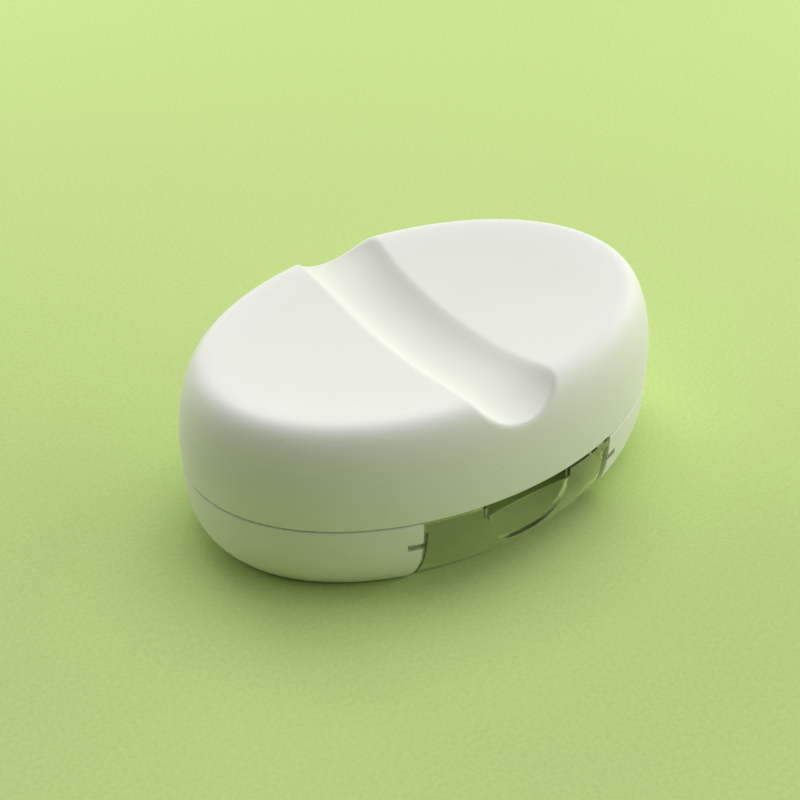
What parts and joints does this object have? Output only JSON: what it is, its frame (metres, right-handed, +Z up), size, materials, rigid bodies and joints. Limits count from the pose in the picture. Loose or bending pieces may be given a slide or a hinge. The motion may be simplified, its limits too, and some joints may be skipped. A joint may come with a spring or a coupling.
{
  "type": "pill splitter",
  "caption": "Oval white pill splitter with a dished, grooved lid on a rear hinge, a blade under the lid, soft V grips on a deck, and a clear drawer in the front.",
  "frame": {"origin": "on the table, under the middle of the oval case", "axes": "+X along the oval's long axis, -Y towards the drawer's front, +Z up"},
  "size_m": [0.09, 0.0616, 0.0323],
  "materials": {
    "white_plastic": "satin moulded white",
    "inner_plastic": "fine matte white",
    "clear_plastic": "clear, polished, slightly grey",
    "soft_grip": "soft matte",
    "foot_rubber": "matte rubber",
    "steel": "ground stainless"
  },
  "bodies": {
    "base": {"base_shell": "white_plastic", "deck": "inner_plastic", "pill_grip_left": "soft_grip", "pill_grip_right": "soft_grip", "hinge_pin": "steel", "deck_screw_1": "steel", "deck_screw_2": "steel", "deck_screw_3": "steel", "deck_screw_4": "steel", "foot_1": "foot_rubber", "foot_2": "foot_rubber", "foot_3": "foot_rubber", "foot_4": "foot_rubber"},
    "lid": {"lid_shell": "white_plastic", "blade_carrier": "inner_plastic", "blade": "steel", "blade_clamp_front": "steel", "blade_clamp_rear": "steel", "blade_screw_front": "steel", "blade_screw_rear": "steel", "carrier_screw_1": "steel", "carrier_screw_2": "steel", "carrier_screw_3": "steel", "carrier_screw_4": "steel"},
    "drawer": {"drawer": "clear_plastic"}
  },
  "joints": [
    {"name": "lid_hinge", "type": "hinge", "parent": "base", "child": "lid", "pos_m": [0, 0.0286, 0.0148], "axis": [-1, 0, 0], "range_deg": [0, 100]},
    {"name": "drawer_slide", "type": "slide", "parent": "base", "child": "drawer", "axis": [0, -1, 0], "range_m": [0, 0.03]}
  ]
}
